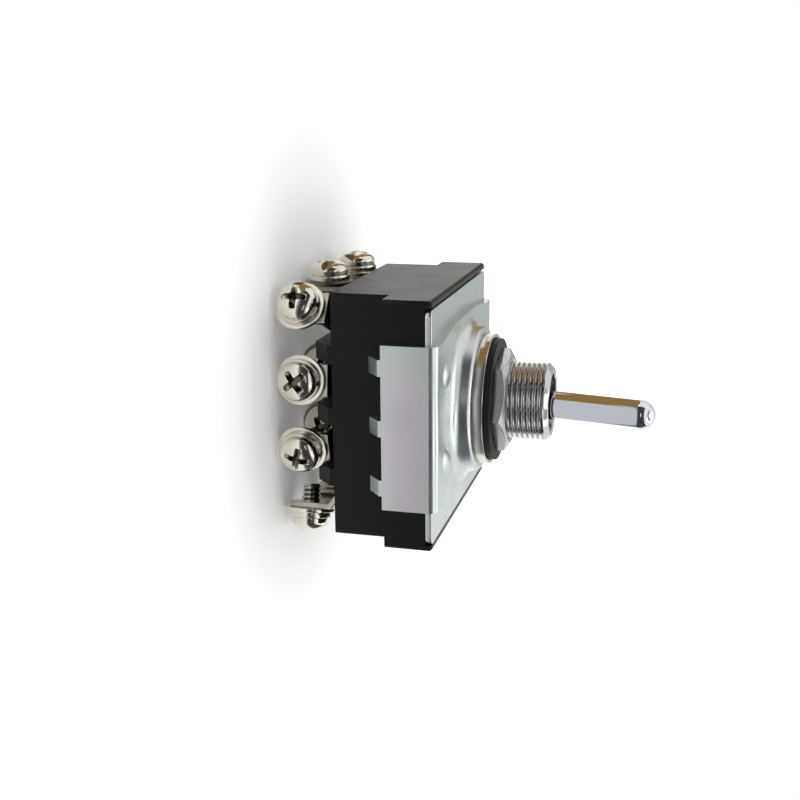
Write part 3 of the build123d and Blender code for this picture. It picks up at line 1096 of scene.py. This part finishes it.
    def _split_washers(self, pole: int) -> Piece:
        """Build the split washers of one pole.

        A rounded square section is carried round the ring short of the gap, and the sections at
        the gap are slanted.

        Args:
            pole: number of the pole.

        Returns:
            The three washers, as one piece.
        """
        hole, outer, thick = self.hole_radius, self.split_radius, self.split_thickness
        section = rounded([(hole, 0), (outer, 0), (outer, thick), (hole, thick)], self.split_edge,
                          closed=True)
        half = self.split_gap / 2 / outer
        along = np.linspace(half, 2 * np.pi - half, self.sides)[:, None]
        slanted = np.where(np.abs(np.cos(along / 2)) > self.split_slant_from, 1.0, 0.0)
        slant = math.tan(math.radians(self.split_slant)) * (section[:, 1] - thick / 2) / outer
        angle = along + np.pi / 2 - slanted * slant
        rings = polar(section[:, 0], angle, section[:, 1])
        caps = polar((hole + outer) / 2, angle[[0, -1]].mean(axis=1), thick / 2)
        work = bmesh.new()
        for row in Row:
            where = self.axis(pole, row, self.flat_thickness)
            part = grid_mesh("split_washer", placed(rings, where), poles=placed(caps, where))
            work.from_mesh(part.data)
            bpy.data.objects.remove(part)
        mesh = bpy.data.meshes.new(f"split_washers_{pole}")
        work.to_mesh(mesh)
        work.free()
        return linked(mesh.name, mesh)


@dataclass
class Mechanism:
    """Slide and contacts inside the case."""

    edge: float = 0.12

    def build(self, shop: Workshop) -> None:
        """Dress the carrier and the contact bridges.

        Args:
            shop: the nodes and materials.
        """
        shop.soften("contact_carrier", self.edge, Finish.CARRIER, Body.SLIDE)
        for pole in POLES:
            shop.soften(f"contact_bridge_{pole}", self.edge, Finish.SILVER,
                        Body.SLIDE)


# Studio; lengths in metres and angles in degrees


@dataclass(frozen=True)
class Card:
    """Card curved round the switch, which only mirrors see; its angles run from +X to +Y."""

    name: str
    middle: float
    spread: float
    foot: tuple[float, float]
    top: tuple[float, float]
    colour: Colour
    steps: int = 24

    def build(self) -> None:
        """Stand the card.

        Its points at angle a are (r cos a, r sin a, z), with (r, z) first at the foot and then at
        the top.
        """
        a = np.radians(self.middle + self.spread * (np.arange(self.steps + 1) / self.steps - 0.5))
        points = np.concatenate([polar(r, a, z) for r, z in (self.foot, self.top)])
        k = np.arange(self.steps)
        faces = np.stack([k, k + 1, k + self.steps + 2, k + self.steps + 1], axis=-1)
        mesh = bpy.data.meshes.new(self.name)
        mesh.from_pydata(points.tolist(), [], faces.tolist())
        material, tree, shader = start_material(self.name)
        filled(tree, shader, {"Base Color": (0, 0, 0), "Specular IOR Level": 0.0,
                              "Emission Color": self.colour, "Emission Strength": 1.0})
        mesh.materials.append(material)
        card = linked(self.name, mesh)
        card.visible_camera = False
        card.visible_diffuse = False
        card.visible_shadow = False
        card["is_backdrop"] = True


@dataclass(frozen=True)
class Softbox:
    """Square soft lamp that faces the switch."""

    name: str
    place: Point
    size: float
    power: float
    colour: Colour

    def build(self) -> None:
        """Hang the lamp.

        Its light falls towards the origin, which lies in the switch.
        """
        data = bpy.data.lights.new(self.name, "AREA")
        data.size = self.size
        data.energy = self.power
        data.color = self.colour
        lamp = linked(self.name, data)
        lamp.location = self.place
        lamp.rotation_euler = (-Vector(self.place)).to_track_quat("-Z", "Y").to_euler()


@dataclass
class Studio:
    """Pale floor, soft lamps, cards, world and camera."""

    camera_place: Point = (-0.045826, -0.171771, 0.031847)
    camera_turn: float = -15.294
    camera_dip: float = 14.324
    camera_roll: float = 93.419
    camera_near: float = 0.01
    focal_length: float = 51.63    # millimetres
    sensor_width: float = 36.0     # millimetres
    floor_half: float = 1.2
    floor_colour: Colour = (0.9, 0.9, 0.9)
    floor_roughness: float = 0.9
    world_light: float = 0.5
    glow: Ramp = ((0.022, 0.15), (0.036, 0.3), (0.055, 0.44), (0.5, 1.0))
    mirrored_glow: Ramp = ((0.0, 0.22), (0.05, 0.38), (0.1, 0.4), (0.5, 1.0))
    lamps: tuple[Softbox, ...] = (
        Softbox("overhead softbox", (0.06, -0.03, 0.42), 0.44, 0.82, (1.0, 0.99, 0.97)),
        Softbox("side window", (0.38, -0.10, 0.16), 0.22, 0.22, (0.9, 0.95, 1.0)),
    )
    cards: tuple[Card, ...] = (
        # Painted shade: a darker stretch of floor in front of the switch, seen only by mirrors.
        Card("floor in painted shade", -90, 200, (0.07, -0.0274), (0.185, -0.0274), (0.66, 0.67, 0.68)),
        Card("table edge left", -130, 86, (0.165, -0.0275), (0.165, -0.008), (0.22, 0.22, 0.23)),
        Card("dark room left", -130, 86, (0.165, -0.008), (0.165, 0.125), (0.05, 0.05, 0.055)),
        Card("table edge right", -39, 98, (0.185, -0.0275), (0.185, -0.008), (0.22, 0.22, 0.23)),
        Card("dark room right", -39, 98, (0.185, -0.008), (0.185, 0.14), (0.05, 0.05, 0.055)),
        Card("wood low", 129, 22, (0.15, -0.0275), (0.15, -0.0228), (0.32, 0.20, 0.06)),
        Card("wood high", 118, 46, (0.15, -0.012), (0.15, 0.021), (0.32, 0.20, 0.07)),
        Card("wood behind", 154, 28, (0.15, -0.0275), (0.15, 0.021), (0.32, 0.20, 0.07)),
        Card("shaded wood", 178, 56, (0.026, -0.0286), (0.038, -0.0272), (0.11, 0.085, 0.06)),
        Card("wood front", 181, 44, (0.038, -0.0272), (0.15, -0.0272), (0.30, 0.19, 0.06)),
        Card("wood end", 181, 26, (0.15, -0.0275), (0.15, 0.004), (0.30, 0.19, 0.06)),
        Card("window", -105, 26, (0.15, 0.040), (0.15, 0.055), (0.95, 0.95, 1.0)),
        Card("ceiling", -90, 200, (0.13, 0.22), (0.06, 0.25), (0.42, 0.42, 0.43)),
        Card("back card", 94, 48, (0.40, -0.04), (0.40, 0.32), (0.52, 0.56, 0.53)),
    )

    def build(self) -> None:
        """Build the floor, the world, the lamps, the cards and the camera.

        The plain view transform keeps white at white.
        """
        bpy.context.scene.view_settings.view_transform = "Standard"
        self._floor()
        self._world()
        for thing in (*self.lamps, *self.cards):
            thing.build()
            LOG.info("set up %s", thing.name)
        self._camera()

    def _floor(self) -> None:
        """Lay the floor at the lowest point of the model.

        Away from the switch it glows for camera rays, more and more up to white, and the same with
        its own ramp for mirrors and glass. Its diffuse light stays plain.
        """
        low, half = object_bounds()[0][2], self.floor_half
        mesh = bpy.data.meshes.new("floor")
        corners = [(x * half, y * half, low) for x, y in ((-1, -1), (1, -1), (1, 1), (-1, 1))]
        mesh.from_pydata(corners, [], [(0, 1, 2, 3)])
        material, tree, shader = start_material("pale floor")
        away = add_length(tree, add_mapping(tree, object_place(tree), (1, 1, 0)))
        rays = add_node(tree, "LightPath", {}).outputs
        mirrored = add_math(tree, "MAXIMUM", rays["Is Glossy Ray"], rays["Is Transmission Ray"])
        parts = []
        for seen, glow in ((rays["Is Camera Ray"], self.glow), (mirrored, self.mirrored_glow)):
            ramp = add_ramp(tree, away, [(place, (value,) * 3) for place, value in glow])
            parts.append(add_math(tree, "MULTIPLY", seen, ramp))
        filled(tree, shader, {
            "Base Color": self.floor_colour, "Roughness": self.floor_roughness,
            "Emission Color": (1, 1, 1), "Emission Strength": add_math(tree, "ADD", *parts)})
        mesh.materials.append(material)
        linked("floor", mesh)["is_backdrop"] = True

    def _world(self) -> None:
        """Make the world.

        It is white for camera, glossy and transmission rays, and a soft light for the rest.
        """
        world = bpy.data.worlds.new("studio")
        bpy.context.scene.world = world
        world.use_nodes = True
        tree = world.node_tree
        rays = add_node(tree, "LightPath", {}).outputs
        seen = add_math(tree, "MAXIMUM", rays["Is Camera Ray"], rays["Is Glossy Ray"])
        seen = add_math(tree, "MAXIMUM", seen, rays["Is Transmission Ray"])
        strength = ranged(tree, seen, self.world_light, 1.0, (0.0, 1.0))
        filled(tree, tree.nodes["Background"], {"Color": (1, 1, 1), "Strength": strength})

    def _camera(self) -> None:
        """Set the camera.

        It stands where the photograph was taken from, and it is turned on its side.
        """
        data = bpy.data.cameras.new("camera")
        data.lens = self.focal_length
        data.sensor_width = self.sensor_width
        data.clip_start = self.camera_near
        camera = linked("camera", data)
        look = (turned(self.camera_turn, "Z") @ turned(90 - self.camera_dip, "X")
                @ turned(self.camera_roll, "Z"))
        camera.matrix_world = Matrix.Translation(self.camera_place) @ look
        bpy.context.scene.camera = camera


def main() -> None:
    """Build the whole scene.

    The frame is loaded, and each sub-assembly and the studio are built.
    """
    logging.basicConfig(level=logging.INFO, format="%(name)s: %(message)s")
    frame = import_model()
    shop = Workshop.build(frame["nodes"])
    for assembly in (Housing(), BushingStack(), Lever(), TerminalScrews(), Mechanism()):
        assembly.build(shop)
    Studio().build()


if __name__ == "__main__":
    main()
